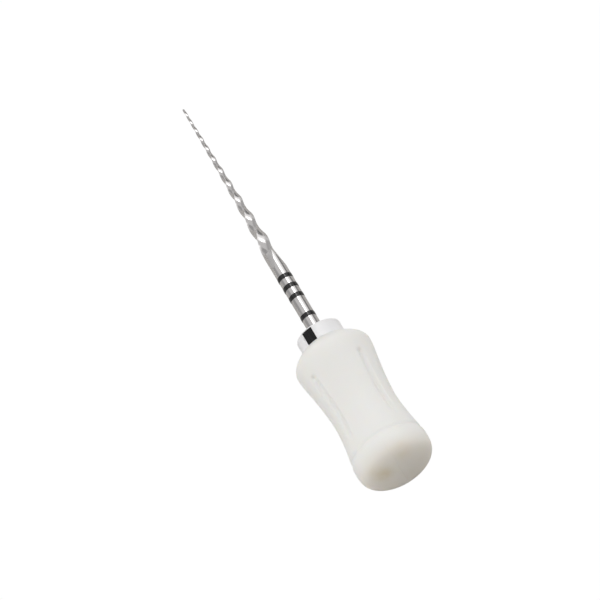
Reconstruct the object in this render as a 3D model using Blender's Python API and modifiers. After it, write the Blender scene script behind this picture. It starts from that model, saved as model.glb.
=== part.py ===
"""An endodontic hand file, modelled as the separate pieces that it is made of.

A twisted three-edged file blade runs back into a rigid plastic core. The core shows as a
collar in front of the soft grip, which is moulded over the rest of it. Four lacquer rings
on the shank mark the working depth, and a printed mark on the collar shows the file's size.

The object lies on its side with one of its grip panels facing up. +X points to the tip and
+Z is up. The origin is under the middle of the object, on the surface that it lies on.

Every piece is built in the file's own frame, which the empty file_axis places: its Z axis
is the axis of the file and points to the tip, where its origin is. A station is a distance
from the tip along the axis, so it lies at z = -station. An azimuth of 0 is the line along
the top of the object, and azimuths grow towards the object's -Y side.
"""
import math

import bmesh
import bpy
from mathutils import Matrix, Vector

MM = 0.001
COLLECTION_NAME = "endodontic_file"

# Clearance between pieces that are moulded, pressed or printed on each other.
FIT_GAP = 0.01 * MM
MERGE_DISTANCE = 0.0005 * MM

# Blade: a three-edged section that turns about the axis, on a taper that grows faster
# towards the shank. The pitch is the length of one turn.
EDGES = 3
TIP_DIAMETER = 0.20 * MM
TAPER_AT_TIP = 0.031
TAPER_GROWTH = 0.0024 / MM
SHANK_DIAMETER = 1.26 * MM
TIP_ROUNDING = 0.15 * MM
FLANK_RADIUS_RATIO = 2.27
EDGE_AZIMUTH_AT_TIP = math.radians(32.0)
PITCH_AT_TIP = 2.4 * MM
PITCH_AT_RUNOUT = 8.5 * MM
PITCH_POWER = 1.6
RUNOUT_START = 15.3 * MM
RUNOUT_END = 16.9 * MM
TURN_PER_SECTION = math.radians(15.0)
TIP_SECTIONS = 4
RUNOUT_SECTIONS = 7
FLANK_POINTS = 5
LAND_POINTS = 7
SHANK_SIDES = EDGES * (LAND_POINTS + 1)

# Depth marks: lacquer rings in shallow grooves of the shank.
MARK_STATIONS = {"18mm": 18.0 * MM, "19mm": 19.0 * MM, "20mm": 20.0 * MM, "22mm": 22.0 * MM}
MARK_WIDTH = 0.38 * MM
MARK_GROOVE_DEPTH = 0.05 * MM
MARK_PROUD = 0.012 * MM

# Tail: the end of the shank inside the core, with two flats that stop it turning.
TAIL_END = 34.0 * MM
TAIL_FLAT_START = 30.5 * MM
TAIL_FLAT_THICKNESS = 0.86 * MM
TAIL_CHAMFER = 0.15 * MM

# Core: the collar in front, and a ribbed stem that the grip is moulded around.
CORE_SIDES = 48
COLLAR_FRONT = 23.70 * MM
COLLAR_RADIUS = 1.94 * MM
COLLAR_EDGE = 0.10 * MM
COLLAR_BACK = 25.60 * MM
STEM_RADIUS = 1.40 * MM
STEM_END = 35.0 * MM
STEM_EDGE = 0.30 * MM
STEM_GROOVES = (27.4 * MM, 32.6 * MM)
STEM_GROOVE_WIDTH = 0.80 * MM
STEM_GROOVE_RADIUS = 1.08 * MM
RIB_TIP_RADIUS = 1.85 * MM
RIB_THICKNESS = 0.50 * MM
RIB_START = 28.4 * MM
RIB_END = 32.0 * MM

# Size mark: printed in a shallow recess of the collar, four sides of the collar wide.
SIZE_MARK_AZIMUTH = math.radians(-22.5)
SIZE_MARK_SIDES = 4
SIZE_MARK_START = 23.82 * MM
SIZE_MARK_END = 25.07 * MM
SIZE_MARK_DEPTH = 0.05 * MM

# Grip: a shoulder, a waist with four finger panels, and a domed end.
GRIP_SIDES = 48
LIP_STATION = 25.04 * MM
LIP_THICKNESS = 0.05 * MM
SHOULDER_STATION = 26.38 * MM
SHOULDER_RADIUS = 3.34 * MM
SHOULDER_FULLNESS = (1.7, 1.08)
WAIST = (
    (28.50 * MM, 3.08 * MM),
    (30.00 * MM, 2.89 * MM),
    (32.00 * MM, 2.77 * MM),
    (34.00 * MM, 2.94 * MM),
    (35.42 * MM, 3.177 * MM),
)
BASE_LINE_STATION = 35.60 * MM
BASE_LINE_WIDTH = 0.36 * MM
BASE_LINE_DEPTH = 0.06 * MM
CAP_STEP = 0.02 * MM
BASE_STATION = 36.18 * MM
BASE_RADIUS = 3.28 * MM
GRIP_END = 38.53 * MM
DOME_FULLNESS = (3.43, 2.0)
SHOULDER_POINTS = 9
WAIST_POINTS = 3
DOME_POINTS = 12

# Grooves between the finger panels: deepest near the shoulder, fading out at the base.
# The route's columns are station, depth below the waist, and share of the full radius.
PANELS = 4
GROOVE_RADIUS = 0.34 * MM
GROOVE_ROUTE = (
    (27.85 * MM, 0.02 * MM, 0.55),
    (28.05 * MM, 0.22 * MM, 0.95),
    (28.50 * MM, 0.24 * MM, 1.0),
    (29.50 * MM, 0.19 * MM, 1.0),
    (31.00 * MM, 0.16 * MM, 1.0),
    (32.50 * MM, 0.13 * MM, 1.0),
    (33.60 * MM, 0.07 * MM, 1.0),
    (34.60 * MM, -0.06 * MM, 1.0),
)

# The grip lies on one flat side of its shoulder, and the object is centred along X.
HALF_GRIP_SIDE = math.pi / GRIP_SIDES
AXIS_HEIGHT = SHOULDER_RADIUS * math.cos(HALF_GRIP_SIDE)
TIP_X = GRIP_END / 2.0

# Materials: colour, roughness and metallic value.
MATERIALS = {
    "nickel_titanium": ((0.62, 0.61, 0.60), 0.28, 1.0),
    "black_lacquer": ((0.02, 0.02, 0.02), 0.30, 0.0),
    "black_ink": ((0.02, 0.02, 0.022), 0.40, 0.0),
    "white_plastic": ((0.84, 0.85, 0.90), 0.30, 0.0),
    "white_silicone": ((0.86, 0.86, 0.83), 0.50, 0.0),
}


# --------------------------------------------------------------------------- scene helpers

def clear_scene():
    for item in list(bpy.data.objects):
        bpy.data.objects.remove(item, do_unlink=True)


def new_collection(name):
    collection = bpy.data.collections.new(name)
    bpy.context.scene.collection.children.link(collection)
    return collection


def new_material(name):
    colour, roughness, metallic = MATERIALS[name]
    material = bpy.data.materials.new(name)
    material.use_nodes = True
    shader = material.node_tree.nodes["Principled BSDF"]
    shader.inputs["Base Color"].default_value = (*colour, 1.0)
    shader.inputs["Roughness"].default_value = roughness
    shader.inputs["Metallic"].default_value = metallic
    return material


def add_object(name, mesh, collection, parent, material=None):
    item = bpy.data.objects.new(name, mesh)
    item.parent = parent
    collection.objects.link(item)
    if material is not None:
        mesh.materials.append(material)
    return item


def as_cutter(item):
    item.hide_render = True
    item.display_type = "WIRE"
    return item


def shade_smooth(item, angle=math.radians(30.0)):
    item.data.shade_smooth()
    item.data.set_sharp_from_angle(angle=angle)


def add_boolean(item, other, operation):
    modifier = item.modifiers.new(f"{operation.lower()}_{other.name}", "BOOLEAN")
    modifier.operation = operation
    modifier.solver = "EXACT"
    modifier.object = other


def mesh_from_bmesh(name, shape):
    bmesh.ops.recalc_face_normals(shape, faces=shape.faces)
    mesh = bpy.data.meshes.new(name)
    shape.to_mesh(mesh)
    shape.free()
    return mesh


# --------------------------------------------------------------------------- shape helpers

def point(station, radius, azimuth=0.0):
    """A point in the file's own frame."""
    return Vector((radius * math.cos(azimuth), radius * math.sin(azimuth), -station))


def turned_mesh(name, profile, closed=False):
    """The wire of (station, radius) points that a Screw modifier turns."""
    mesh = bpy.data.meshes.new(name)
    edges = [(i, i + 1) for i in range(len(profile) - 1)]
    if closed:
        edges.append((len(profile) - 1, 0))
    mesh.from_pydata([point(station, radius) for station, radius in profile], edges, [])
    return mesh


def add_turned(name, profile, sides, collection, parent, material=None, closed=False, phase=0.0):
    """A turned solid: the profile runs down its outer side, away from the tip."""
    item = add_object(name, turned_mesh(name, profile, closed), collection, parent, material)
    item.rotation_euler.z = phase
    screw = item.modifiers.new("turn", "SCREW")
    screw.axis = "Z"
    screw.steps = sides
    screw.render_steps = sides
    screw.use_merge_vertices = True
    screw.merge_threshold = MERGE_DISTANCE
    screw.use_smooth_shade = True
    return item


def add_sector(name, radii, stations, azimuths, steps, collection, parent, material=None):
    """A piece of a ring, from one azimuth to another."""
    (front, back), (inner, outer) = stations, radii
    shape = bmesh.new()
    corners = [(front, inner), (front, outer), (back, outer), (back, inner)]
    verts = [shape.verts.new(point(station, radius, azimuths[0])) for station, radius in corners]
    face = shape.faces.new(verts)
    angle = azimuths[1] - azimuths[0]
    bmesh.ops.spin(shape, geom=[face], cent=(0, 0, 0), axis=(0, 0, 1), angle=angle, steps=steps)
    return add_object(name, mesh_from_bmesh(name, shape), collection, parent, material)


def add_block(name, low, high, collection, parent):
    """A box between two opposite corners in the file's own frame."""
    shape = bmesh.new()
    size = Vector(high) - Vector(low)
    middle = (Vector(high) + Vector(low)) / 2.0
    placing = Matrix.Translation(middle) @ Matrix.Diagonal((*size, 1.0))
    bmesh.ops.create_cube(shape, size=1.0, matrix=placing)
    return add_object(name, mesh_from_bmesh(name, shape), collection, parent)


def superellipse(start, end, fullness, count):
    """A quarter superellipse from a point where it runs radially to one where it runs along the axis.

    fullness is its two exponents, for the distance along the axis and for the radius.
    """
    points = []
    for i in range(count + 1):
        turn = i / count * math.pi / 2.0
        along = math.cos(turn) ** (2.0 / fullness[0])
        across = math.sin(turn) ** (2.0 / fullness[1])
        station = end[0] + (start[0] - end[0]) * along
        radius = start[1] + (end[1] - start[1]) * across
        points.append((station, radius))
    return points


def smooth_radius(controls, station):
    """The radius of a smooth curve through (station, radius) points, level at both of its ends."""
    count = len(controls)
    i = next((k for k in range(count - 2) if station < controls[k + 1][0]), count - 2)
    (s0, r0), (s1, r1) = controls[i], controls[i + 1]
    slopes = []
    for k in (i, i + 1):
        inside = 0 < k < count - 1
        rise = controls[k + 1][1] - controls[k - 1][1] if inside else 0.0
        run = controls[k + 1][0] - controls[k - 1][0] if inside else 1.0
        slopes.append(rise / run * (s1 - s0))
    t = (station - s0) / (s1 - s0)
    return (
        (2 * t**3 - 3 * t**2 + 1) * r0
        + (t**3 - 2 * t**2 + t) * slopes[0]
        + (3 * t**2 - 2 * t**3) * r1
        + (t**3 - t**2) * slopes[1]
    )


# --------------------------------------------------------------------------- file blade

def envelope_radius(station):
    """Half the diameter of the circle that the cutting edges touch."""
    diameter = TIP_DIAMETER + TAPER_AT_TIP * station + TAPER_GROWTH * station**2
    return min(diameter, SHANK_DIAMETER) / 2.0


def pitch(station):
    """Length of one turn of the flutes, which grows ever faster from the tip to the run-out."""
    share = (station / RUNOUT_START) ** PITCH_POWER
    return PITCH_AT_TIP + (PITCH_AT_RUNOUT - PITCH_AT_TIP) * share


def flank_distance_ratio():
    """Distance of a flank's middle from the axis, with sharp edges, over the edges' radius."""
    centre = math.sqrt(FLANK_RADIUS_RATIO**2 - 0.75) - 0.5
    return FLANK_RADIUS_RATIO - centre


def blade_stations():
    """(station, azimuth of one edge) pairs, one for each equal turn of the section."""
    station = TIP_ROUNDING
    azimuth = EDGE_AZIMUTH_AT_TIP
    pairs = []
    while station < RUNOUT_START:
        pairs.append((station, azimuth))
        station += pitch(station) * TURN_PER_SECTION / math.tau
        azimuth -= TURN_PER_SECTION
    return pairs


def blade_section(envelope, fade, edge_azimuth):
    """Points around one section. A fade of 0 gives sharp edges, and 1 gives the round shank."""
    ratio = flank_distance_ratio()
    distance = envelope * (ratio + (1.0 - ratio) * fade)
    flank = envelope * FLANK_RADIUS_RATIO
    centre = flank - distance
    half_pitch = math.pi / EDGES
    reach = (flank**2 - envelope**2 - centre**2) / (2.0 * envelope * centre)
    half_width = min(math.acos(max(min(reach, 1.0), -1.0)), half_pitch)
    points = []
    for edge in range(EDGES):
        middle = edge_azimuth + half_pitch + edge * 2.0 * half_pitch
        for i in range(FLANK_POINTS):
            offset = half_width * (2.0 * i / (FLANK_POINTS - 1) - 1.0)
            radius = math.sqrt(flank**2 - (centre * math.sin(offset)) ** 2) - centre * math.cos(offset)
            points.append((radius, middle + offset))
        land = 2.0 * (half_pitch - half_width)
        corner_radius = points[-1][0]
        for i in range(LAND_POINTS):
            offset = half_width + land * (i + 1) / (LAND_POINTS + 1)
            points.append((corner_radius, middle + offset))
    return points


def shank_profile():
    """(station, radius) points of the shank behind the flutes, with the grooves for the depth marks."""
    radius = SHANK_DIAMETER / 2.0
    profile = []
    for station in MARK_STATIONS.values():
        start = station - MARK_WIDTH / 2.0 - FIT_GAP
        end = station + MARK_WIDTH / 2.0 + FIT_GAP
        floor = radius - MARK_GROOVE_DEPTH
        profile += [(start, radius), (start, floor), (end, floor), (end, radius)]
    profile += [(TAIL_END - TAIL_CHAMFER, radius), (TAIL_END, radius - TAIL_CHAMFER)]
    return profile


def make_blade(collection, cutters, axis, material):
    """The one-piece file: rounded tip, twisted flutes, shank and flattened tail."""
    stations = blade_stations()
    last_azimuth = stations[-1][1]
    rings = []
    for i in range(1, TIP_SECTIONS):
        share = i / TIP_SECTIONS
        station = TIP_ROUNDING * share
        envelope = envelope_radius(station) * math.sqrt(1.0 - (1.0 - share) ** 2)
        rings.append((station, blade_section(envelope, 0.0, EDGE_AZIMUTH_AT_TIP)))
    for station, azimuth in stations:
        rings.append((station, blade_section(envelope_radius(station), 0.0, azimuth)))
    for i in range(RUNOUT_SECTIONS + 1):
        fade = i / RUNOUT_SECTIONS
        station = RUNOUT_START + (RUNOUT_END - RUNOUT_START) * fade
        rings.append((station, blade_section(envelope_radius(station), fade, last_azimuth)))
    for station, radius in shank_profile():
        rings.append((station, [(radius, azimuth) for _, azimuth in rings[-1][1]]))

    shape = bmesh.new()
    loops = [[shape.verts.new(point(station, *polar)) for polar in section] for station, section in rings]
    count = len(loops[0])
    for near, far in zip(loops, loops[1:]):
        for i in range(count):
            j = (i + 1) % count
            shape.faces.new((near[i], far[i], far[j], near[j]))
    tip = shape.verts.new(point(0.0, 0.0))
    for i in range(count):
        shape.faces.new((tip, loops[0][i], loops[0][(i + 1) % count]))
    shape.faces.new(loops[-1])
    bmesh.ops.remove_doubles(shape, verts=shape.verts, dist=MERGE_DISTANCE)
    blade = add_object("file_blade", mesh_from_bmesh("file_blade", shape), collection, axis, material)
    shade_smooth(blade)
    for flat in add_tail_flats("blade_flat", 0.0, cutters, axis):
        add_boolean(blade, flat, "DIFFERENCE")
    return last_azimuth + math.pi / EDGES


def add_tail_flats(name, gap, cutters, axis):
    """Two blocks that leave the flattened end of the tail between them."""
    inner = TAIL_FLAT_THICKNESS / 2.0 + gap
    outer = SHANK_DIAMETER
    front = -(TAIL_FLAT_START - gap)
    back = -(TAIL_END + SHANK_DIAMETER)
    flats = []
    for side, (low, high) in {"left": (-outer, -inner), "right": (inner, outer)}.items():
        flat = add_block(f"{name}_{side}", (-outer, low, back), (outer, high, front), cutters, axis)
        flats.append(as_cutter(flat))
    return flats


def make_depth_marks(collection, axis, material, phase):
    radius = SHANK_DIAMETER / 2.0
    inner = radius - MARK_GROOVE_DEPTH + FIT_GAP
    outer = radius + MARK_PROUD
    for label, station in MARK_STATIONS.items():
        front = station - MARK_WIDTH / 2.0
        back = station + MARK_WIDTH / 2.0
        name = f"depth_mark_{label}"
        profile = [(front, inner), (front, outer), (back, outer), (back, inner)]
        add_turned(name, profile, SHANK_SIDES, collection, axis, material, closed=True, phase=phase)


# --------------------------------------------------------------------------- core and size mark

def core_profile(gap, front_edge, reach):
    """(station, radius) points of the core's outer surface, moved out by a gap.

    front_edge is the size of the collar's front chamfer, and reach carries the collar
    forward, so that the same shape can cut the grip's mouth open.
    """
    collar = COLLAR_RADIUS + gap
    stem = STEM_RADIUS + gap
    floor = STEM_GROOVE_RADIUS + gap
    front = COLLAR_FRONT - reach
    profile = [(front, 0.0)]
    if front_edge > 0.0:
        profile += [(front, collar - front_edge), (front + front_edge, collar)]
    else:
        profile += [(front, collar)]
    profile += [(COLLAR_BACK + gap, collar), (COLLAR_BACK + gap, stem)]
    for station in STEM_GROOVES:
        start = station - STEM_GROOVE_WIDTH / 2.0 + gap
        end = station + STEM_GROOVE_WIDTH / 2.0 - gap
        profile += [(start, stem), (start, floor), (end, floor), (end, stem)]
    profile += [(STEM_END - STEM_EDGE, stem), (STEM_END + gap, stem - STEM_EDGE), (STEM_END + gap, 0.0)]
    return profile


def add_core_shape(name, gap, front_edge, reach, collection, cutters, axis, material=None):
    """The core's outer shape: the turned collar and stem with two crossed plates as its ribs."""
    item = add_turned(name, core_profile(gap, front_edge, reach), CORE_SIDES, collection, axis, material)
    tip = RIB_TIP_RADIUS + gap
    half = RIB_THICKNESS / 2.0 + gap
    back = -(RIB_END + gap)
    front = -(RIB_START - gap)
    for label, (x, y) in {"rib_up": (tip, half), "rib_side": (half, tip)}.items():
        rib = add_block(f"{name}_{label}", (-x, -y, back), (x, y, front), cutters, axis)
        add_boolean(item, as_cutter(rib), "UNION")
    return item


def add_bore_cutter(cutters, axis, phase):
    """The blade's tail with a gap round it."""
    radius = SHANK_DIAMETER / 2.0 + FIT_GAP
    profile = [
        (COLLAR_FRONT - SHANK_DIAMETER, 0.0),
        (COLLAR_FRONT - SHANK_DIAMETER, radius),
        (TAIL_END - TAIL_CHAMFER, radius),
        (TAIL_END + FIT_GAP, radius - TAIL_CHAMFER),
        (TAIL_END + FIT_GAP, 0.0),
    ]
    bore = as_cutter(add_turned("bore_cutter", profile, SHANK_SIDES, cutters, axis, phase=phase))
    for flat in add_tail_flats("bore_flat", FIT_GAP, cutters, axis):
        add_boolean(bore, flat, "DIFFERENCE")
    return bore


def make_core(collection, cutters, axis, material, phase):
    core = add_core_shape("handle_core", 0.0, COLLAR_EDGE, 0.0, collection, cutters, axis, material)
    add_boolean(core, add_bore_cutter(cutters, axis, phase), "DIFFERENCE")
    add_boolean(core, add_size_mark_recess(cutters, axis), "DIFFERENCE")
    return core


def size_mark_azimuths(margin):
    half = SIZE_MARK_SIDES * math.pi / CORE_SIDES + margin / COLLAR_RADIUS
    return SIZE_MARK_AZIMUTH - half, SIZE_MARK_AZIMUTH + half


def add_size_mark_recess(cutters, axis):
    radii = (COLLAR_RADIUS - SIZE_MARK_DEPTH, COLLAR_RADIUS + SIZE_MARK_DEPTH)
    stations = (SIZE_MARK_START - FIT_GAP, SIZE_MARK_END + FIT_GAP)
    azimuths = size_mark_azimuths(FIT_GAP)
    recess = add_sector("size_mark_recess", radii, stations, azimuths, SIZE_MARK_SIDES, cutters, axis)
    return as_cutter(recess)


def make_size_mark(collection, axis, material):
    radii = (COLLAR_RADIUS - SIZE_MARK_DEPTH + FIT_GAP, COLLAR_RADIUS)
    stations = (SIZE_MARK_START, SIZE_MARK_END)
    azimuths = size_mark_azimuths(0.0)
    add_sector("size_mark", radii, stations, azimuths, SIZE_MARK_SIDES, collection, axis, material)


# --------------------------------------------------------------------------- grip

def waist_controls():
    return [(SHOULDER_STATION, SHOULDER_RADIUS), *WAIST, (BASE_STATION, BASE_RADIUS)]


def grip_profile():
    """(station, radius) points of the grip's outer surface, from its lip to the end of the dome."""
    lip = (LIP_STATION, COLLAR_RADIUS + FIT_GAP + LIP_THICKNESS)
    profile = [(LIP_STATION, 0.0)]
    profile += superellipse(lip, (SHOULDER_STATION, SHOULDER_RADIUS), SHOULDER_FULLNESS, SHOULDER_POINTS)
    controls = waist_controls()
    for (s0, _), (s1, _) in zip(controls, controls[1:-1]):
        for i in range(1, WAIST_POINTS + 1):
            station = s0 + (s1 - s0) * i / WAIST_POINTS
            profile.append((station, smooth_radius(controls, station)))
    line_end = BASE_LINE_STATION + BASE_LINE_WIDTH / 2.0
    profile.append((BASE_LINE_STATION, smooth_radius(controls, BASE_LINE_STATION) - BASE_LINE_DEPTH))
    profile.append((line_end, smooth_radius(controls, line_end) + CAP_STEP))
    profile.append((BASE_STATION, BASE_RADIUS))
    dome = superellipse((GRIP_END, 0.0), (BASE_STATION, BASE_RADIUS), DOME_FULLNESS, DOME_POINTS)
    profile += list(reversed(dome))[1:]
    return profile


def add_groove_cutter(index, cutters, axis):
    """A bent tube that sinks into the waist between two finger panels."""
    azimuth = (index + 0.5) * math.tau / PANELS
    curve = bpy.data.curves.new(f"groove_curve_{index}", "CURVE")
    curve.dimensions = "3D"
    curve.bevel_depth = GROOVE_RADIUS
    curve.bevel_resolution = 2
    curve.use_fill_caps = True
    spline = curve.splines.new("POLY")
    spline.points.add(len(GROOVE_ROUTE) - 1)
    controls = waist_controls()
    for knot, (station, depth, width) in zip(spline.points, GROOVE_ROUTE):
        radius = smooth_radius(controls, station) - depth + GROOVE_RADIUS * width
        knot.co = (*point(station, radius, azimuth), 1.0)
        knot.radius = width
    guide = bpy.data.objects.new(f"groove_guide_{index}", curve)
    cutters.objects.link(guide)
    bpy.context.view_layer.update()
    evaluated = guide.evaluated_get(bpy.context.evaluated_depsgraph_get())
    mesh = bpy.data.meshes.new_from_object(evaluated)
    bpy.data.objects.remove(guide, do_unlink=True)
    shape = bmesh.new()
    shape.from_mesh(mesh)
    bmesh.ops.remove_doubles(shape, verts=shape.verts, dist=MERGE_DISTANCE)
    bpy.data.meshes.remove(mesh)
    return as_cutter(add_object(f"groove_cutter_{index}", mesh_from_bmesh("groove", shape), cutters, axis))


def make_grip(collection, cutters, axis, material):
    grip = add_turned(
        "grip_sleeve", grip_profile(), GRIP_SIDES, collection, axis, material, phase=HALF_GRIP_SIDE
    )
    cavity = add_core_shape("cavity_cutter", FIT_GAP, 0.0, COLLAR_RADIUS, cutters, cutters, axis)
    add_boolean(grip, as_cutter(cavity), "DIFFERENCE")
    for index in range(PANELS):
        add_boolean(grip, add_groove_cutter(index, cutters, axis), "DIFFERENCE")
    return grip


# --------------------------------------------------------------------------- assembly

def add_file_axis():
    axis = bpy.data.objects.new("file_axis", None)
    bpy.context.scene.collection.objects.link(axis)
    turn = Matrix(((0.0, 0.0, 1.0), (0.0, -1.0, 0.0), (1.0, 0.0, 0.0)))
    axis.rotation_euler = turn.to_euler()
    axis.location = (TIP_X, 0.0, AXIS_HEIGHT)
    return axis


def main():
    clear_scene()
    parts = new_collection(COLLECTION_NAME)
    cutters = new_collection("cutters")
    axis = add_file_axis()
    flute_end_azimuth = make_blade(parts, cutters, axis, new_material("nickel_titanium"))
    make_depth_marks(parts, axis, new_material("black_lacquer"), flute_end_azimuth)
    make_core(parts, cutters, axis, new_material("white_plastic"), flute_end_azimuth)
    make_size_mark(parts, axis, new_material("black_ink"))
    make_grip(parts, cutters, axis, new_material("white_silicone"))


main()
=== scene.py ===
"""The looks of the endodontic hand file: fine meshes, materials, floor, light and camera.

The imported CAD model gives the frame: the file lies along X on the floor, with its tip towards
+X and one finger panel of the grip facing up. A station is a distance from the tip along the
axis. An azimuth of 0 is the line along the top, and azimuths grow towards the -Y side.
"""
import math

import bmesh
import bpy
import numpy as np
from mathutils import Matrix, Vector


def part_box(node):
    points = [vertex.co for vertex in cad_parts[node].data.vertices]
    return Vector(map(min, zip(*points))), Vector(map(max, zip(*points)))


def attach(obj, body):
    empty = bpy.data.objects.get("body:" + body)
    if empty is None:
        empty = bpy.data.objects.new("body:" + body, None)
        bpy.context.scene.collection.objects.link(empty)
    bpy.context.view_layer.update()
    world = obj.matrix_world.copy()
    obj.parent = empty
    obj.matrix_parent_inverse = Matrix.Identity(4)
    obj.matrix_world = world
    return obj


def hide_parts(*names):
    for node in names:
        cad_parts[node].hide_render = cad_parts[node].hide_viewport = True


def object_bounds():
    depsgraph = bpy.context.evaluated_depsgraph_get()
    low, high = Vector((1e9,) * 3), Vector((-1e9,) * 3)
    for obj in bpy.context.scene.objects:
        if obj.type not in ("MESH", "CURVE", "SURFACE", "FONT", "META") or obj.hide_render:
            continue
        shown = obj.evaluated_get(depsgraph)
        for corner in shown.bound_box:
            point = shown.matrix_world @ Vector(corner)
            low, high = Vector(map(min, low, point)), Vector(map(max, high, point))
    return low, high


MM = 0.001
TURN = 2.0 * math.pi
GAP = 0.01 * MM
MERGE_DISTANCE = 0.0004 * MM
TINY = 1.0e-6

# Angles between faces from which an edge stays sharp.
SHARP_BLADE = math.radians(14.0)
SHARP_MOULDED = math.radians(40.0)
SHARP_SOFT = math.radians(50.0)

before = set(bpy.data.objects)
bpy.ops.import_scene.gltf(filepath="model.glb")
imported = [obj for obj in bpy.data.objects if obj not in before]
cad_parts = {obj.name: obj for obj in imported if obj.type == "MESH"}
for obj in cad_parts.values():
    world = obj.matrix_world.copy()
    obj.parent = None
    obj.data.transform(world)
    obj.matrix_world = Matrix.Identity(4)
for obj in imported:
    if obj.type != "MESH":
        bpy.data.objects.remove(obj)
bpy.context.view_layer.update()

# Places taken from the frame.
blade_low, blade_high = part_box("file_blade")
core_low, core_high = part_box("handle_core")
grip_low, grip_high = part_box("grip_sleeve")
mark_low, mark_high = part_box("size_mark")
TIP_X = blade_high.x
AXIS_Y = (grip_low.y + grip_high.y) / 2.0
AXIS_Z = (grip_low.z + grip_high.z) / 2.0
TAIL_END = TIP_X - blade_low.x
COLLAR_FRONT = TIP_X - core_high.x
COLLAR_RADIUS = (core_high.y - core_low.y) / 2.0
STEM_END = TIP_X - core_low.x
LIP_STATION = TIP_X - grip_high.x
GRIP_END = TIP_X - grip_low.x
SIZE_MARK_START = TIP_X - mark_high.x
SIZE_MARK_END = TIP_X - mark_low.x

# Blade.
EDGES = 3
TIP_DIAMETER = 0.20 * MM
TAPER_AT_TIP = 0.031
TAPER_GROWTH = 0.0024 / MM
SHANK_RADIUS = 0.63 * MM
TIP_ROUNDING = 0.15 * MM
FLANK_RADIUS_RATIO = 2.27
EDGE_AZIMUTH_AT_TIP = math.radians(32.0)
PITCH_AT_TIP = 2.4 * MM
PITCH_AT_RUNOUT = 8.5 * MM
PITCH_POWER = 1.6
RUNOUT_START = 15.3 * MM
RUNOUT_END = 16.9 * MM
TURN_PER_SECTION = math.radians(3.0)
TIP_SECTIONS = 12
RUNOUT_SECTIONS = 36
FLANK_POINTS = 13
LAND_POINTS = 31
MARK_GROOVE_DEPTH = 0.05 * MM

# Lacquer rings.
RING_SIDES = 160
RING_STEPS = 17
LACQUER_SWELL = 0.022 * MM
LAP_LIFT = 0.001 * MM
LAP_MEAN = 0.022 * MM
LAP_SPREAD = 0.009 * MM
LAP_WAVES = 6
GOLDEN_ANGLE = 2.4

# Collar and stem inside the grip.
CORE_SIDES = 192
COLLAR_EDGE = 0.10 * MM
EDGE_STEPS = 6
COLLAR_BACK = 25.60 * MM
STEM_RADIUS = 1.40 * MM
STEM_GROOVES = (27.4 * MM, 32.6 * MM)
STEM_GROOVE_WIDTH = 0.80 * MM
STEM_GROOVE_RADIUS = 1.08 * MM
RIB_TIP_RADIUS = 1.85 * MM
RIB_THICKNESS = 0.50 * MM
RIB_START = 28.4 * MM
RIB_END = 32.0 * MM
SIZE_MARK_AZIMUTH = math.radians(-22.0)
SIZE_MARK_HALF_ANGLE = math.radians(14.0)
SIZE_MARK_DEPTH = 0.05 * MM
SIZE_MARK_LIFT = 0.004 * MM
SIZE_MARK_COLUMNS = 41
SIZE_MARK_ROWS = 33

# Grip.
GRIP_SIDES = 360
SHOULDER_POINTS = 40
WAIST_POINTS = 120
BASE_LINE_POINTS = 19
BASE_LINE_REACH = 3.0
DOME_POINTS = 60
GRIP_BORE_GAP = 0.03 * MM
SHOULDER_STATION = 26.38 * MM
SHOULDER_RADIUS = 3.34 * MM
SHOULDER_FULLNESS = (1.7, 1.08)
WAIST = (
    (28.50 * MM, 3.08 * MM),
    (30.00 * MM, 2.89 * MM),
    (32.00 * MM, 2.77 * MM),
    (34.00 * MM, 2.94 * MM),
    (35.42 * MM, 3.177 * MM),
)
BASE_STATION = 36.18 * MM
BASE_RADIUS = 3.28 * MM
DOME_FULLNESS = (3.43, 2.0)
LIP_THICKNESS = 0.05 * MM
LIP_RADIUS = COLLAR_RADIUS + GAP + LIP_THICKNESS
LIP_ROUNDING = 0.04 * MM
BASE_LINE_STATION = 35.60 * MM
BASE_LINE_HALF_WIDTH = 0.17 * MM
BASE_LINE_DEPTH = 0.105 * MM
CAP_STEP = 0.004 * MM
CAP_STEP_LENGTH = 0.45 * MM
PANELS = 4
GROOVE_START = 28.10 * MM
GROOVE_END = 34.7 * MM
GROOVE_HALF_WIDTH = 0.38 * MM
GROOVE_DEPTH = 0.19 * MM
GROOVE_END_DEPTH = 0.20 * MM
GROOVE_ROUNDING = 0.80 * MM
GROOVE_FADE_START = 0.78
GROOVE_WALL_POWER = 1.5
PIT_STATION = 28.10 * MM
PIT_RADIUS = 0.27 * MM
PIT_DEPTH = 0.20 * MM
PARTING_HEIGHT = 0.020 * MM
PARTING_HALF_WIDTH = 0.05 * MM
PARTING_START = BASE_STATION - 0.3 * MM
PARTING_FULL = BASE_STATION + 0.5 * MM
# Painted shade: between the base station and this station the silicone's colour blends to darker,
# warmer tones.
DOME_SHADE_END = GRIP_END - 0.8 * MM

# Painted shade: darker yellow-brown patches on the dome where its shade is deepest: station, radius,
# azimuth, reach and strength.
SHADE_PATCHES = (
    (38.22 * MM, 2.05 * MM, math.radians(-44.5), 1.40 * MM, 0.62),
    (37.83 * MM, 2.75 * MM, math.radians(19.6), 1.20 * MM, 0.22),
)
SHADE_PATCH_COLOUR = (0.70, 0.60, 0.41, 1.0)
SHADE_PATCH_WEAKEST = 0.5
SHADE_PATCH_STRONGEST = 1.3

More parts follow.
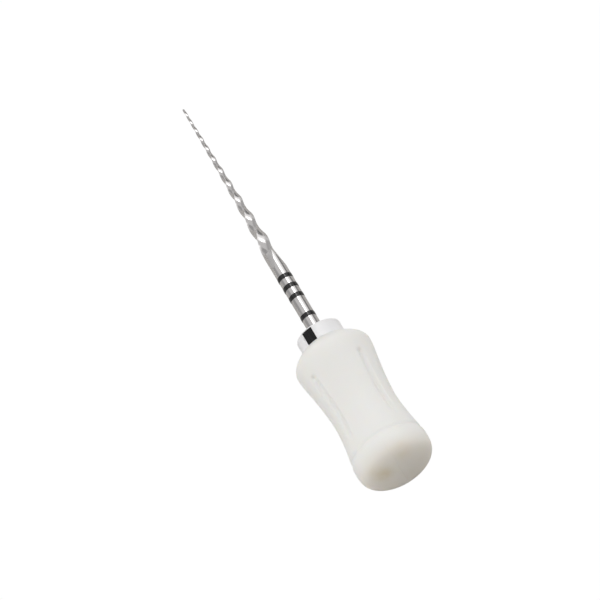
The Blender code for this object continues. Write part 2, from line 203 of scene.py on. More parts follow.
# Colours, each as the two ends of a slight unevenness.
METAL_TONES = ((0.62, 0.603, 0.598, 1.0), (0.69, 0.673, 0.668, 1.0))
METAL_LINE_TONE = (0.50, 0.485, 0.48, 1.0)
LACQUER_TONES = ((0.006, 0.0055, 0.0055, 1.0), (0.03, 0.027, 0.025, 1.0))
INK_TONES = ((0.004, 0.004, 0.0045, 1.0), (0.022, 0.021, 0.024, 1.0))
PLASTIC_TONES = ((0.795, 0.79, 0.80, 1.0), (0.825, 0.82, 0.83, 1.0))
SILICONE_TONES = ((0.835, 0.83, 0.805, 1.0), (0.86, 0.855, 0.83, 1.0))
# Painted shade: darker, warmer copies of the silicone tones, for the shade on the dome's end.
DOME_SHADE_TONES = ((0.80, 0.765, 0.70, 1.0), (0.83, 0.795, 0.735, 1.0))
FLOOR_TONES = ((0.61, 0.598, 0.58, 1.0), (0.63, 0.618, 0.60, 1.0))
WHITE = (1.0, 1.0, 1.0, 1.0)
FLOOR_HALF_WIDTH = 2.5
FLOOR_WHITENESS = 1.01

# Camera: a long lens above and behind the handle, rolled so that the tip points up and left.
CAMERA_DISTANCE = 1.0
CAMERA_ELEVATION = math.radians(63.2)
CAMERA_ROLL = math.radians(31.09)
CAMERA_AIM_STATION = 20.30 * MM
CAMERA_AIM_SIDE = 0.124 * MM
PICTURE_WIDTH = 48.15 * MM
SENSOR_WIDTH = 36.0

# Studio light, as radiance by direction. A direction is given by its X part, which is 1 straight
# ahead of the tip, and its side part, which is 1 level with the -Y side and 0 overhead.
# Each light: X from, X to, side from, side to, softness in X, softness in side, added radiance.
BACK_LEVEL = 0.08
ROOM_LEVEL = 0.76
ROOM_START = (-0.55, -0.35)
STUDIO_LIGHTS = {
    "left fill": (-0.50, 0.08, -1.50, -0.45, 0.10, 0.12, 1.60),
    "right fill": (-0.50, 0.10, 0.75, 1.50, 0.10, 0.08, 1.42),
    "softbox": (-0.10, 0.62, 0.12, 0.77, 0.08, 0.10, 0.44),
    "softbox middle": (0.15, 0.62, 0.15, 0.50, 0.08, 0.08, 0.85),
    "softbox bulb": (0.32, 0.58, 0.20, 0.34, 0.05, 0.04, 4.0),
    "right flag": (0.12, 0.58, 0.80, 1.50, 0.08, 0.05, -0.50),
    "left flag": (0.20, 0.62, -0.92, -0.62, 0.08, 0.07, -0.32),
    "front": (0.78, 1.50, -1.50, 1.50, 0.08, 0.10, 0.12),
    "front flag": (0.68, 1.00, -0.60, 0.50, 0.08, 0.10, -0.30),
}
BACK_COLOUR = (1.0, 0.93, 0.82, 1.0)
FRONT_COLOUR = WHITE


# --------------------------------------------------------------------------- shape helpers

def places(station, radius, azimuth):
    """World points from stations, radii and azimuths, which may be arrays."""
    station, radius, azimuth = np.broadcast_arrays(station, radius, azimuth)
    x = TIP_X - station
    y = AXIS_Y - radius * np.sin(azimuth)
    z = AXIS_Z + radius * np.cos(azimuth)
    return np.stack([x, y, z], axis=-1)


def smoothstep(low, high, value):
    t = np.clip((value - low) / (high - low), 0.0, 1.0)
    return t * t * (3.0 - 2.0 * t)


def ring_faces(rings, sides):
    """Quads between neighbouring rings of a grid, closed round the axis."""
    i, j = np.meshgrid(np.arange(rings - 1), np.arange(sides), indexing="ij")
    k = (j + 1) % sides
    quads = np.stack([i * sides + j, (i + 1) * sides + j, (i + 1) * sides + k, i * sides + k], axis=-1)
    return quads.reshape(-1, 4).tolist()


def closed_skin(name, grid, start, end):
    """A closed mesh from a grid of rings, with a point at each end."""
    rings, sides = grid.shape[:2]
    verts = grid.reshape(-1, 3).tolist() + [list(start), list(end)]
    faces = ring_faces(rings, sides)
    first, last = rings * sides, rings * sides + 1
    base = (rings - 1) * sides
    for j in range(sides):
        k = (j + 1) % sides
        faces.append([first, j, k])
        faces.append([last, base + k, base + j])
    mesh = bpy.data.meshes.new(name)
    mesh.from_pydata(verts, [], faces)
    return mesh


def outward(mesh, sharp_angle):
    """Normals out, smooth shading, and sharp edges where the surface really turns."""
    shape = bmesh.new()
    shape.from_mesh(mesh)
    bmesh.ops.remove_doubles(shape, verts=shape.verts, dist=MERGE_DISTANCE)
    bmesh.ops.recalc_face_normals(shape, faces=shape.faces)
    shape.to_mesh(mesh)
    shape.free()
    mesh.shade_smooth()
    mesh.set_sharp_from_angle(angle=sharp_angle)


def add_piece(name, mesh, material, node):
    """A piece that rides on the object's one body and stands for a CAD node."""
    piece = bpy.data.objects.new(name, mesh)
    bpy.context.scene.collection.objects.link(piece)
    mesh.materials.append(material)
    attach(piece, "root")
    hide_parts(node)


def superellipse(start, end, fullness, count):
    """A quarter superellipse, radial where it starts and along the axis where it ends.

    The fullness is its two exponents, for the distance along the axis and for the radius.
    """
    turn = np.linspace(0.0, math.pi / 2.0, count + 1)
    along = np.cos(turn).clip(0.0) ** (2.0 / fullness[0])
    across = np.sin(turn).clip(0.0) ** (2.0 / fullness[1])
    station = end[0] + (start[0] - end[0]) * along
    radius = start[1] + (end[1] - start[1]) * across
    return np.stack([station, radius], axis=-1)


def smooth_radius(controls, stations):
    """Radii of a smooth curve through (station, radius) points, level at both of its ends."""
    knots = np.array(controls)
    count = len(knots)
    slope = np.zeros(count)
    slope[1:-1] = (knots[2:, 1] - knots[:-2, 1]) / (knots[2:, 0] - knots[:-2, 0])
    i = np.clip(np.searchsorted(knots[:, 0], stations, side="right") - 1, 0, count - 2)
    span = knots[i + 1, 0] - knots[i, 0]
    t = (stations - knots[i, 0]) / span
    return (
        (2 * t**3 - 3 * t**2 + 1) * knots[i, 1]
        + (t**3 - 2 * t**2 + t) * slope[i] * span
        + (3 * t**2 - 2 * t**3) * knots[i + 1, 1]
        + (t**3 - t**2) * slope[i + 1] * span
    )


# --------------------------------------------------------------------------- file blade

def envelope_radius(station):
    diameter = TIP_DIAMETER + TAPER_AT_TIP * station + TAPER_GROWTH * station**2
    return min(diameter / 2.0, SHANK_RADIUS)


def pitch(station):
    """Length of one turn of the flutes, which grows ever faster from the tip to the run-out."""
    share = (station / RUNOUT_START) ** PITCH_POWER
    return PITCH_AT_TIP + (PITCH_AT_RUNOUT - PITCH_AT_TIP) * share


def blade_section(envelope, fade, edge_azimuth):
    """Radii and azimuths round one section. A fade of 0 gives sharp edges, and 1 the round shank."""
    half_pitch = math.pi / EDGES
    chord = math.sin(half_pitch)
    sharp_centre = math.sqrt(FLANK_RADIUS_RATIO**2 - chord**2) - math.cos(half_pitch)
    ratio = FLANK_RADIUS_RATIO - sharp_centre
    distance = envelope * (ratio + (1.0 - ratio) * fade)
    flank = envelope * FLANK_RADIUS_RATIO
    centre = flank - distance
    reach = (flank**2 - envelope**2 - centre**2) / (2.0 * envelope * centre)
    half_width = min(math.acos(max(min(reach, 1.0), -1.0)), half_pitch)
    offsets = np.linspace(-half_width, half_width, FLANK_POINTS)
    flank_radii = np.sqrt(flank**2 - (centre * np.sin(offsets)) ** 2) - centre * np.cos(offsets)
    land = np.linspace(half_width, 2.0 * half_pitch - half_width, LAND_POINTS + 2)[1:-1]
    radii = np.concatenate([flank_radii, np.full(LAND_POINTS, flank_radii[-1])])
    azimuths = np.concatenate([offsets, land]) + half_pitch + edge_azimuth
    turns = np.arange(EDGES) * TURN / EDGES
    return np.tile(radii, EDGES), (azimuths[None, :] + turns[:, None]).reshape(-1)


def mark_stations():
    """(node name, front, back) of each depth mark, from its box in the frame."""
    found = []
    for name in sorted(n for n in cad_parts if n.startswith("depth_mark")):
        low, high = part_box(name)
        found.append((name, TIP_X - high.x, TIP_X - low.x))
    return found


def blade_sections():
    """(station, radii, azimuths) of each section, from tip to tail."""
    sections = []
    for share in np.linspace(0.0, 1.0, TIP_SECTIONS + 1)[1:-1]:
        station = TIP_ROUNDING * share**2
        envelope = envelope_radius(station) * math.sqrt(1.0 - (1.0 - share**2) ** 2)
        sections.append((station, *blade_section(envelope, 0.0, EDGE_AZIMUTH_AT_TIP)))
    station = TIP_ROUNDING
    turned = 0.0
    while station < RUNOUT_START:
        azimuth = EDGE_AZIMUTH_AT_TIP - turned
        sections.append((station, *blade_section(envelope_radius(station), 0.0, azimuth)))
        station += pitch(station) * TURN_PER_SECTION / TURN
        turned += TURN_PER_SECTION
    for fade in np.linspace(0.0, 1.0, RUNOUT_SECTIONS + 1):
        station = RUNOUT_START + (RUNOUT_END - RUNOUT_START) * fade
        sections.append((station, *blade_section(envelope_radius(station), fade, azimuth)))
    azimuths = sections[-1][2]
    floor = SHANK_RADIUS - MARK_GROOVE_DEPTH
    profile = []
    for _, front, back in mark_stations():
        profile += [(front - GAP, SHANK_RADIUS), (front - GAP, floor), (back + GAP, floor)]
        profile += [(back + GAP, SHANK_RADIUS)]
    profile.append((TAIL_END, SHANK_RADIUS))
    for station, radius in profile:
        sections.append((station, np.full(len(azimuths), radius), azimuths))
    return sections


def make_blade(material):
    grid = np.array([places(*section) for section in blade_sections()])
    mesh = closed_skin("blade", grid, places(0.0, 0.0, 0.0), places(TAIL_END, 0.0, 0.0))
    outward(mesh, SHARP_BLADE)
    add_piece("blade", mesh, material, "file_blade")


def lap(azimuths, seed):
    """How far a ring's lacquer laps over one edge of its groove: a little, and unevenly.

    Each seed gives another pattern of waves, and the same one each time.
    """
    wave = np.zeros(len(azimuths))
    for order in range(1, LAP_WAVES + 1):
        phase = seed * GOLDEN_ANGLE * order**2
        wave += np.sin(order * azimuths + phase) / order
    return LAP_MEAN + LAP_SPREAD * wave


def make_depth_marks(material):
    """Lacquer rings that swell over the shank and lap unevenly over the edges of their grooves."""
    azimuths = np.linspace(0.0, TURN, RING_SIDES, endpoint=False)
    inner = SHANK_RADIUS - MARK_GROOVE_DEPTH + GAP
    skin = SHANK_RADIUS + LAP_LIFT
    across = np.sin(np.linspace(-math.pi / 2.0, math.pi / 2.0, RING_STEPS))
    for index, (name, front, back) in enumerate(mark_stations()):
        low = front - lap(azimuths, 2 * index + 1)
        high = back + lap(azimuths, 2 * index + 2)
        rings = [((low + high) / 2.0, inner), (front, inner), (front, skin)]
        for share in across:
            station = (low + high) / 2.0 + (high - low) / 2.0 * share
            rings.append((station, skin + LACQUER_SWELL * math.sqrt(1.0 - share**2)))
        rings += [(back, skin), (back, inner)]
        grid = np.array([places(station, radius, azimuths) for station, radius in rings])
        mesh = bpy.data.meshes.new(name)
        faces = ring_faces(len(rings), RING_SIDES)
        last = (len(rings) - 1) * RING_SIDES
        for j in range(RING_SIDES):
            k = (j + 1) % RING_SIDES
            faces.append([last + j, j, k, last + k])
        mesh.from_pydata(grid.reshape(-1, 3).tolist(), [], faces)
        outward(mesh, SHARP_SOFT)
        label = name.replace("depth_mark_", "lacquer_ring_")
        add_piece(label, mesh, material, name)


# --------------------------------------------------------------------------- core and size mark

def stem_profile(gap):
    """(station, radius, has ribs) down the stem behind the collar."""
    stem = STEM_RADIUS + gap
    floor = STEM_GROOVE_RADIUS + gap
    half = STEM_GROOVE_WIDTH / 2.0 - gap
    (a, b), (c, d) = [(station - half, station + half) for station in STEM_GROOVES]
    profile = [(a, stem, False), (a, floor, False), (b, floor, False), (b, stem, False)]
    profile += [(RIB_START - gap, stem, False), (RIB_START - gap, stem, True)]
    profile += [(RIB_END + gap, stem, True), (RIB_END + gap, stem, False)]
    profile += [(c, stem, False), (c, floor, False), (d, floor, False), (d, stem, False)]
    profile += [(STEM_END + gap, stem, False)]
    return profile


def stem_radii(radius, ribs, gap, azimuths):
    """The stem's radius round one ring: a cross of four ribs, or plain."""
    if not ribs:
        return np.full(len(azimuths), radius)
    quarter = TURN / 4.0
    offset = np.abs((azimuths + quarter / 2.0) % quarter - quarter / 2.0)
    side = (RIB_THICKNESS / 2.0 + gap) / np.maximum(np.sin(offset), TINY)
    return np.maximum(radius, np.minimum((RIB_TIP_RADIUS + gap) / np.cos(offset), side))


def make_core(material):
    azimuths = np.linspace(0.0, TURN, CORE_SIDES, endpoint=False)
    bore = SHANK_RADIUS + GAP
    bottom = TAIL_END + 2.0 * GAP
    rings = [(bottom, np.full(CORE_SIDES, bore)), (COLLAR_FRONT, np.full(CORE_SIDES, bore))]
    for turn in np.linspace(0.0, math.pi / 2.0, EDGE_STEPS + 1):
        station = COLLAR_FRONT + COLLAR_EDGE * (1.0 - math.cos(turn))
        radius = COLLAR_RADIUS - COLLAR_EDGE * (1.0 - math.sin(turn))
        rings.append((station, np.full(CORE_SIDES, radius)))
    recess = recess_depth(azimuths)
    for station, depth in (
        (SIZE_MARK_START - GAP, 0.0),
        (SIZE_MARK_START - GAP, 1.0),
        (SIZE_MARK_END + GAP, 1.0),
        (SIZE_MARK_END + GAP, 0.0),
        (COLLAR_BACK, 0.0),
    ):
        rings.append((station, COLLAR_RADIUS - recess * depth))
    rings.append((COLLAR_BACK, np.full(CORE_SIDES, STEM_RADIUS)))
    for station, radius, ribs in stem_profile(0.0):
        rings.append((station, stem_radii(radius, ribs, 0.0, azimuths)))
    grid = np.array([places(station, radii, azimuths) for station, radii in rings])
    mesh = closed_skin("core", grid, places(bottom, 0.0, 0.0), places(STEM_END, 0.0, 0.0))
    outward(mesh, SHARP_MOULDED)
    add_piece("core", mesh, material, "handle_core")


def recess_depth(azimuths):
    """How deep the recess under the size mark is, at each azimuth of the collar."""
    offset = np.abs((azimuths - SIZE_MARK_AZIMUTH + math.pi) % TURN - math.pi)
    return np.where(offset < SIZE_MARK_HALF_ANGLE + TINY, SIZE_MARK_DEPTH, 0.0)


def make_size_mark(material):
    """A thin inlay that fills the collar's recess and stands just proud of the collar."""
    columns, rows = SIZE_MARK_COLUMNS, SIZE_MARK_ROWS
    azimuths = SIZE_MARK_AZIMUTH + np.linspace(-1.0, 1.0, columns) * SIZE_MARK_HALF_ANGLE
    stations = np.linspace(SIZE_MARK_START, SIZE_MARK_END, rows)
    grids = []
    for radius in (COLLAR_RADIUS + SIZE_MARK_LIFT, COLLAR_RADIUS - SIZE_MARK_DEPTH + GAP):
        grids.append(places(stations[:, None], radius, azimuths[None, :]))
    verts = np.concatenate([g.reshape(-1, 3) for g in grids]).tolist()
    faces = []
    size = rows * columns
    for i in range(rows - 1):
        for j in range(columns - 1):
            a = i * columns + j
            quad = [a, a + 1, a + 1 + columns, a + columns]
            faces.append(quad)
            faces.append([v + size for v in reversed(quad)])
    border = list(range(columns))
    border += [i * columns + columns - 1 for i in range(1, rows)]
    border += [(rows - 1) * columns + j for j in range(columns - 2, -1, -1)]
    border += [i * columns for i in range(rows - 2, 0, -1)]
    for a, b in zip(border, border[1:] + border[:1]):
        faces.append([b, a, a + size, b + size])
    mesh = bpy.data.meshes.new("ink_mark")
    mesh.from_pydata(verts, [], faces)
    outward(mesh, SHARP_MOULDED)
    add_piece("ink_mark", mesh, material, "size_mark")


# --------------------------------------------------------------------------- grip

def grip_outline():
    """(station, radius) points down the grip, from its lip to just short of the dome's middle."""
    lip = (LIP_STATION, LIP_RADIUS)
    widest = (SHOULDER_STATION, SHOULDER_RADIUS)
    base = (BASE_STATION, BASE_RADIUS)
    shoulder = superellipse(lip, widest, SHOULDER_FULLNESS, SHOULDER_POINTS)
    controls = [widest, *WAIST, base]
    coarse = np.linspace(SHOULDER_STATION, BASE_STATION, WAIST_POINTS)[1:]
    reach = BASE_LINE_REACH * BASE_LINE_HALF_WIDTH
    fine = BASE_LINE_STATION + np.linspace(-reach, reach, BASE_LINE_POINTS)
    stations = np.unique(np.concatenate([coarse, fine]))
    radii = smooth_radius(controls, stations)
    after = stations - BASE_LINE_STATION
    radii = radii - BASE_LINE_DEPTH * np.exp(-((after / BASE_LINE_HALF_WIDTH) ** 2))
    rise = smoothstep(0.0, 2.0 * BASE_LINE_HALF_WIDTH, after)
    radii = radii + CAP_STEP * rise * (1.0 - smoothstep(0.0, CAP_STEP_LENGTH, after))
    dome = superellipse((GRIP_END, 0.0), base, DOME_FULLNESS, DOME_POINTS)[::-1]
    return np.concatenate([shoulder, np.stack([stations, radii], axis=-1), dome[1:-1]])


def groove_depth(stations, radii, azimuths):
    """Depth of the grooves between the finger panels, over a grid."""
    step = TURN / PANELS
    offset = np.abs((azimuths[None, :] + TURN) % step - step / 2.0)
    lateral = offset * radii[:, None] / GROOVE_HALF_WIDTH
    across = np.clip(1.0 - lateral**2, 0.0, None) ** GROOVE_WALL_POWER
    rounding = GROOVE_ROUNDING / 2.0
    start = smoothstep(GROOVE_START - rounding, GROOVE_START + rounding, stations)
    run = np.clip((stations - GROOVE_START) / (GROOVE_END - GROOVE_START), 0.0, 1.0)
    depth = GROOVE_DEPTH + (GROOVE_END_DEPTH - GROOVE_DEPTH) * run
    along = depth * start * (1.0 - smoothstep(GROOVE_FADE_START, 1.0, run))
    pit_distance = np.hypot(stations[:, None] - PIT_STATION, lateral * GROOVE_HALF_WIDTH)
    pit = PIT_DEPTH * np.exp(-((pit_distance / PIT_RADIUS) ** 2))
    return np.maximum(along[:, None] * across, pit)


def parting_ridge(stations, radii, azimuths):
    """A fine mould line over the dome, in the upright plane through the axis."""
    side = radii[:, None] * np.sin(azimuths[None, :])
    over_dome = smoothstep(PARTING_START, PARTING_FULL, stations)
    return PARTING_HEIGHT * over_dome[:, None] * np.exp(-((side / PARTING_HALF_WIDTH) ** 2))


def make_grip(material):
    azimuths = np.linspace(0.0, TURN, GRIP_SIDES, endpoint=False)
    outline = grip_outline()
    stations, radii = outline[:, 0], outline[:, 1]
    along = np.gradient(outline, axis=0)
    length = np.hypot(along[:, 0], along[:, 1])
    normal_station = -along[:, 1] / length
    normal_radius = along[:, 0] / length
    lift = parting_ridge(stations, radii, azimuths) - groove_depth(stations, radii, azimuths)
    grid_station = stations[:, None] + normal_station[:, None] * lift
    grid_radius = radii[:, None] + normal_radius[:, None] * lift
    outer = places(grid_station, grid_radius, azimuths[None, :])

    gap = GRIP_BORE_GAP
    mouth = COLLAR_RADIUS + GAP
    inner = [(LIP_STATION + LIP_ROUNDING, np.full(GRIP_SIDES, mouth))]
    inner += [(COLLAR_BACK + gap, np.full(GRIP_SIDES, mouth))]
    inner += [(COLLAR_BACK + gap, np.full(GRIP_SIDES, STEM_RADIUS + gap))]
    for station, radius, ribs in stem_profile(gap):
        inner.append((station, stem_radii(radius, ribs, gap, azimuths)))
    inner = np.array([places(station, radius, azimuths) for station, radius in reversed(inner)])
    grid = np.concatenate([inner, outer])
    mesh = closed_skin("grip", grid, places(STEM_END + gap, 0.0, 0.0), places(GRIP_END, 0.0, 0.0))
    outward(mesh, SHARP_SOFT)
    add_piece("grip", mesh, material, "grip_sleeve")


# --------------------------------------------------------------------------- materials

SMOOTH_RANGE = {"interpolation_type": "SMOOTHSTEP"}


class Nodes:
    """A material's node tree, with short calls for adding and linking nodes."""

    def __init__(self, name):
        self.material = bpy.data.materials.new(name)
        self.material.use_nodes = True
        self.tree = self.material.node_tree
        self.shader = self.tree.nodes["Principled BSDF"]

    def add(self, kind, settings=None, **inputs):
        node = self.tree.nodes.new(kind)
        for key, value in (settings or {}).items():
            setattr(node, key, value)
        for key, value in inputs.items():
            self.plug(node, key.replace("_", " "), value)
        return node

    def plug(self, node, socket, value):
        """Sets a socket to a number or colour, or links it to another node's output."""
        if isinstance(value, bpy.types.NodeSocket):
            self.tree.links.new(value, node.inputs[socket])
        else:
            node.inputs[socket].default_value = value

    def shade(self, **inputs):
        for key, value in inputs.items():
            self.plug(self.shader, key.replace("_", " "), value)

    def position(self, along, across):
        """Object coordinates in units of texture: so many to a millimetre, along X and across it."""
        coordinate = self.add("ShaderNodeTexCoord")
        scale = (along / MM, across / MM, across / MM)
        mapping = self.add("ShaderNodeMapping", Scale=scale)
        self.tree.links.new(coordinate.outputs["Object"], mapping.inputs["Vector"])
        return mapping.outputs["Vector"]

    def noise(self, vector, detail=2.0, roughness=0.5):
        inputs = {"Vector": vector, "Scale": 1.0, "Detail": detail, "Roughness": roughness}
        return self.add("ShaderNodeTexNoise", **inputs).outputs["Fac"]

    def spread(self, value, low, high, start=0.0, end=1.0):
        node = self.add("ShaderNodeMapRange", Value=value)
        node.inputs["From Min"].default_value = start
        node.inputs["From Max"].default_value = end
        node.inputs["To Min"].default_value = low
        node.inputs["To Max"].default_value = high
        return node.outputs["Result"]

    def between_stations(self, start, end):
        """0 in front of the first station, 1 behind the second, and smooth between them."""
        coordinate = self.add("ShaderNodeTexCoord")
        split = self.add("ShaderNodeSeparateXYZ", Vector=coordinate.outputs["Object"])
        node = self.add("ShaderNodeMapRange", SMOOTH_RANGE, Value=split.outputs["X"])
        node.inputs["From Min"].default_value = TIP_X - start
        node.inputs["From Max"].default_value = TIP_X - end
        return node.outputs["Result"]

    def near(self, place, reach):
        """1 at a place on the object, and smoothly down to 0 at a distance from it."""
        coordinate = self.add("ShaderNodeTexCoord")
        distance = self.add("ShaderNodeVectorMath", {"operation": "DISTANCE"})
        self.tree.links.new(coordinate.outputs["Object"], distance.inputs[0])
        distance.inputs[1].default_value = [float(v) for v in place]
        node = self.add("ShaderNodeMapRange", SMOOTH_RANGE, Value=distance.outputs["Value"])
        node.inputs["From Max"].default_value = reach
        node.inputs["To Min"].default_value = 1.0
        node.inputs["To Max"].default_value = 0.0
        return node.outputs["Result"]

    def mix_colour(self, factor, first, second):
        """The first colour where the factor is 0, and the second where it is 1."""
        node = self.add("ShaderNodeMix", {"data_type": "RGBA"})
        self.plug(node, 0, factor)
        self.plug(node, 6, first)
        self.plug(node, 7, second)
        return node.outputs[2]

    def bump(self, height, distance, normal=None):
        node = self.add("ShaderNodeBump", Height=height, Distance=distance, Strength=1.0)
        if normal is not None:
            self.tree.links.new(normal, node.inputs["Normal"])
        return node.outputs["Normal"]


def metal_material():
    """Ground nickel-titanium: fine lines round the shank, grey with a slight warmth."""
    n = Nodes("ground_nickel_titanium")
    lines = n.noise(n.position(26.0, 0.9), detail=4.0, roughness=0.65)
    bands = n.noise(n.position(5.2, 0.26), detail=3.0)
    cloud = n.noise(n.position(0.7, 0.7), detail=3.0)
    tone = n.mix_colour(cloud, *METAL_TONES)
    n.shade(Base_Color=n.mix_colour(n.spread(lines, 0.0, 0.30), tone, METAL_LINE_TONE))
    n.shade(Metallic=1.0)
    n.shade(Roughness=n.spread(bands, 0.09, 0.19))
    fine = n.bump(lines, 0.0009 * MM)
    n.shade(Normal=n.bump(bands, 0.0022 * MM, normal=fine))
    return n.material


def lacquer_material():
    """Black lacquer, glossy, a little uneven."""
    n = Nodes("black_lacquer")
    wave = n.noise(n.position(4.0, 2.2), detail=3.0)
    wear = n.noise(n.position(9.0, 6.0), detail=4.0, roughness=0.7)
    n.shade(Base_Color=n.mix_colour(n.spread(wear, 0.0, 1.0, 0.62, 0.80), *LACQUER_TONES))
    n.shade(Roughness=n.spread(wave, 0.05, 0.16))
    n.shader.inputs["Specular IOR Level"].default_value = 0.55
    n.shade(Normal=n.bump(wave, 0.0040 * MM))
    return n.material


def plastic_material():
    """The collar's hard plastic: bluish white, satin, with a faint moulded texture."""
    n = Nodes("white_plastic")
    cloud = n.noise(n.position(0.9, 0.9), detail=3.0)
    grain = n.noise(n.position(14.0, 14.0), detail=3.0)
    n.shade(Base_Color=n.mix_colour(cloud, *PLASTIC_TONES))
    n.shade(Roughness=n.spread(grain, 0.24, 0.38))
    n.shade(Subsurface_Weight=0.15, Subsurface_Scale=0.6 * MM)
    n.shader.inputs["Subsurface Radius"].default_value = (1.0, 0.9, 0.85)
    n.shade(Normal=n.bump(grain, 0.0018 * MM))
    return n.material


def ink_material():
    """Printed black ink with faint streaks along the file."""
    n = Nodes("black_ink")
    streaks = n.noise(n.position(0.5, 11.0), detail=3.0, roughness=0.6)
    n.shade(Base_Color=n.mix_colour(n.spread(streaks, 0.0, 1.0, 0.50, 0.75), *INK_TONES))
    n.shade(Roughness=n.spread(streaks, 0.38, 0.55))
    n.shader.inputs["Specular IOR Level"].default_value = 0.25
    n.shade(Normal=n.bump(streaks, 0.0015 * MM))
    return n.material


def silicone_material():
    """Soft white silicone: satin, slightly translucent and warm, with a fine matt texture, and painted
    warm shade over the dome's end and in two patches on it.
    """
    n = Nodes("white_silicone")
    cloud = n.noise(n.position(0.26, 0.26), detail=3.0)
    grain = n.noise(n.position(9.0, 9.0), detail=4.0, roughness=0.6)
    body = n.mix_colour(cloud, *SILICONE_TONES)
    # Painted warm shade over the dome's end.
    dome = n.mix_colour(cloud, *DOME_SHADE_TONES)
    skin = n.mix_colour(n.between_stations(BASE_STATION, DOME_SHADE_END), body, dome)
    mottle = n.noise(n.position(1.1, 1.1), detail=3.0)
    # Painted shade: mottled darker, warmer patches where the dome's shade is deepest.
    for station, radius, azimuth, reach, strength in SHADE_PATCHES:
        shade_spot = n.near(places(station, radius, azimuth), reach)
        patch = n.add("ShaderNodeMath", {"operation": "MULTIPLY"})
        n.plug(patch, 0, shade_spot)
        weakest, strongest = SHADE_PATCH_WEAKEST * strength, SHADE_PATCH_STRONGEST * strength
        n.plug(patch, 1, n.spread(mottle, weakest, strongest, 0.3, 0.7))
        skin = n.mix_colour(patch.outputs[0], skin, SHADE_PATCH_COLOUR)
    n.shade(Base_Color=skin)
    n.shade(Roughness=n.spread(grain, 0.42, 0.58))
    n.shade(Subsurface_Weight=0.30, Subsurface_Scale=0.8 * MM)
    n.shader.inputs["Subsurface Radius"].default_value = (1.0, 0.75, 0.5)
    n.shade(Normal=n.bump(grain, 0.0025 * MM))
    return n.material


def floor_material():
    """A plain pale floor. Where the camera sees it, it is washed out to plain white."""
    n = Nodes("pale_floor")
    cloud = n.noise(n.position(0.03, 0.03), detail=2.0)
    n.shade(Base_Color=n.mix_colour(cloud, *FLOOR_TONES))
    n.shade(Roughness=0.9)
    white = n.add("ShaderNodeEmission", Color=WHITE, Strength=FLOOR_WHITENESS)
    path = n.add("ShaderNodeLightPath")
    mix = n.add("ShaderNodeMixShader")
    n.plug(mix, 0, path.outputs["Is Camera Ray"])
    n.plug(mix, 1, n.shader.outputs["BSDF"])
    n.plug(mix, 2, white.outputs["Emission"])
    n.tree.links.new(mix.outputs["Shader"], n.tree.nodes["Material Output"].inputs["Surface"])
    return n.material


# --------------------------------------------------------------------------- stage, light, camera

def add_floor(material, height):
    mesh = bpy.data.meshes.new("floor")
    turns = ((-1.0, -1.0), (1.0, -1.0), (1.0, 1.0), (-1.0, 1.0))
    corners = [(x * FLOOR_HALF_WIDTH, y * FLOOR_HALF_WIDTH, height) for x, y in turns]
    mesh.from_pydata(corners, [], [(0, 1, 2, 3)])
    mesh.materials.append(material)
    floor = bpy.data.objects.new("floor", mesh)
    bpy.context.scene.collection.objects.link(floor)


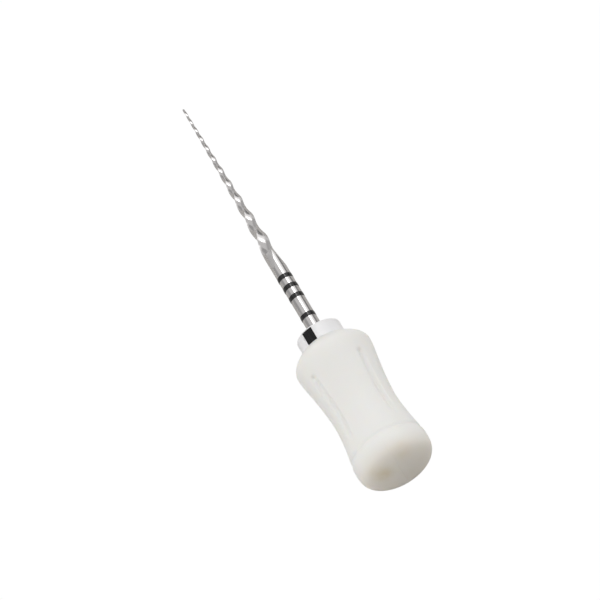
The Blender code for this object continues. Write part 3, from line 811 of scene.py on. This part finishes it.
def add_world():
    """Soft studio light all round, with a dark end behind the grip. The camera sees it as white."""
    world = bpy.data.worlds.new("studio")
    world.use_nodes = True
    tree = world.node_tree
    background = tree.nodes["Background"]

    def math_node(operation, *values):
        node = tree.nodes.new("ShaderNodeMath")
        node.operation = operation
        for socket, value in zip(node.inputs, values):
            if isinstance(value, bpy.types.NodeSocket):
                tree.links.new(value, socket)
            else:
                socket.default_value = value
        return node.outputs[0]

    def ramp(value, low, high):
        node = tree.nodes.new("ShaderNodeMapRange")
        node.interpolation_type = "SMOOTHSTEP"
        tree.links.new(value, node.inputs["Value"])
        node.inputs["From Min"].default_value = low
        node.inputs["From Max"].default_value = high
        return node.outputs["Result"]

    def band(value, low, high, soft):
        up = ramp(value, low - soft, low + soft)
        down = math_node("SUBTRACT", 1.0, ramp(value, high - soft, high + soft))
        return math_node("MULTIPLY", up, down)

    coordinate = tree.nodes.new("ShaderNodeTexCoord")
    split = tree.nodes.new("ShaderNodeSeparateXYZ")
    tree.links.new(coordinate.outputs["Generated"], split.inputs[0])
    x, y, _ = split.outputs
    side = math_node("MULTIPLY", y, -1.0)

    room = ramp(x, *ROOM_START)
    level = math_node("MULTIPLY_ADD", room, ROOM_LEVEL - BACK_LEVEL, BACK_LEVEL)
    for x_from, x_to, side_from, side_to, x_soft, side_soft, added in STUDIO_LIGHTS.values():
        along = band(x, x_from, x_to, x_soft)
        across = band(side, side_from, side_to, side_soft)
        shape = math_node("MULTIPLY", along, across)
        level = math_node("MULTIPLY_ADD", shape, added, level)
    level = math_node("MAXIMUM", level, 0.0)

    tint = tree.nodes.new("ShaderNodeMix")
    tint.data_type = "RGBA"
    tree.links.new(room, tint.inputs[0])
    tint.inputs[6].default_value = BACK_COLOUR
    tint.inputs[7].default_value = FRONT_COLOUR
    seen = tree.nodes.new("ShaderNodeMix")
    seen.data_type = "RGBA"
    path = tree.nodes.new("ShaderNodeLightPath")
    tree.links.new(path.outputs["Is Camera Ray"], seen.inputs[0])
    tree.links.new(tint.outputs[2], seen.inputs[6])
    seen.inputs[7].default_value = WHITE
    tree.links.new(seen.outputs[2], background.inputs["Color"])
    strength = math_node("MAXIMUM", level, path.outputs["Is Camera Ray"])
    tree.links.new(strength, background.inputs["Strength"])
    bpy.context.scene.world = world


def add_camera():
    back = Vector((-math.cos(CAMERA_ELEVATION), 0.0, math.sin(CAMERA_ELEVATION)))
    to_tip = Vector((math.sin(CAMERA_ELEVATION), 0.0, math.cos(CAMERA_ELEVATION)))
    side = Vector((0.0, -1.0, 0.0))
    up = to_tip * math.cos(CAMERA_ROLL) + side * math.sin(CAMERA_ROLL)
    right = side * math.cos(CAMERA_ROLL) - to_tip * math.sin(CAMERA_ROLL)
    target = Vector((TIP_X - CAMERA_AIM_STATION, AXIS_Y, AXIS_Z)) + side * CAMERA_AIM_SIDE
    data = bpy.data.cameras.new("camera")
    data.sensor_width = SENSOR_WIDTH
    data.lens = SENSOR_WIDTH * CAMERA_DISTANCE / PICTURE_WIDTH
    data.clip_start, data.clip_end = 0.01, 20.0
    camera = bpy.data.objects.new("camera", data)
    basis = Matrix((right, up, back)).transposed().to_4x4()
    camera.matrix_world = Matrix.Translation(target + back * CAMERA_DISTANCE) @ basis
    bpy.context.scene.collection.objects.link(camera)
    bpy.context.scene.camera = camera


def main():
    make_blade(metal_material())
    make_depth_marks(lacquer_material())
    make_core(plastic_material())
    make_size_mark(ink_material())
    make_grip(silicone_material())
    low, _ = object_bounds()
    add_floor(floor_material(), low.z)
    add_world()
    add_camera()
    bpy.context.scene.view_settings.view_transform = "Standard"


main()
